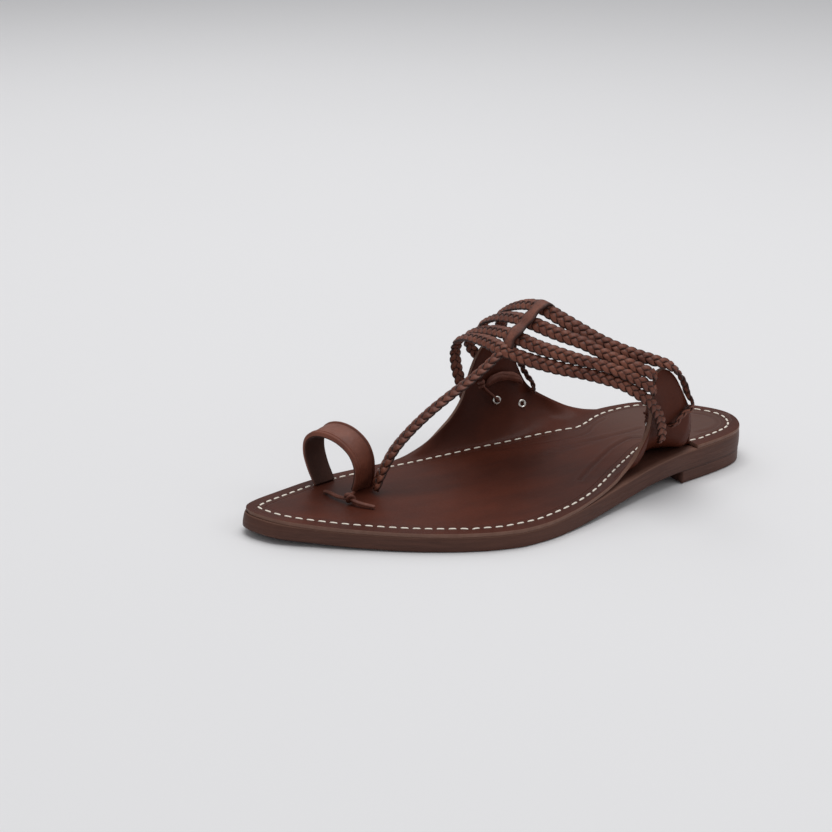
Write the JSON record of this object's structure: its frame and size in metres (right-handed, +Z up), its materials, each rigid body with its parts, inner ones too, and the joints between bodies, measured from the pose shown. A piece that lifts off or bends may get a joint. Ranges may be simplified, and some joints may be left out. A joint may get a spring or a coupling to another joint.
{
  "type": "kolhapuri sandal",
  "caption": "Flat leather toe-ring sandal for the left foot: stitched footbed with curled side ears, braided straps over the instep, thong plait and stacked leather sole.",
  "frame": {"origin": "middle of the part's box, on the floor that the sole stands on", "axes": "+Y along the sole from toe to heel, +X towards the outer (little toe) side, +Z up"},
  "size_m": [0.1196, 0.2814, 0.0988],
  "materials": {
    "sole_leather": "burnished stacked sole leather, satin",
    "lift_leather": "burnished sole leather, satin",
    "footbed_leather": "smooth waxed leather with a soft gloss, cream stitching near the edge",
    "braid_leather": "braided strips, oiled, satin",
    "ring_leather": "fine grained leather, matt inside",
    "lace_leather": "thin soft leather, satin",
    "eyelet_metal": "bright nickel plate"
  },
  "bodies": {
    "root": {"outsole": "sole_leather", "heel_lift": "lift_leather", "footbed": "footbed_leather", "braided_upper": "braid_leather", "toe_ring": "ring_leather", "eyelet_inner_front": "eyelet_metal", "eyelet_inner_rear": "eyelet_metal", "eyelet_outer_front": "eyelet_metal", "eyelet_outer_rear": "eyelet_metal", "rolled_band_inner": "lace_leather", "ear_lace_inner": "lace_leather", "rolled_band_outer": "lace_leather", "ear_lace_outer": "lace_leather", "toe_lace": "lace_leather"}
  },
  "joints": []
}
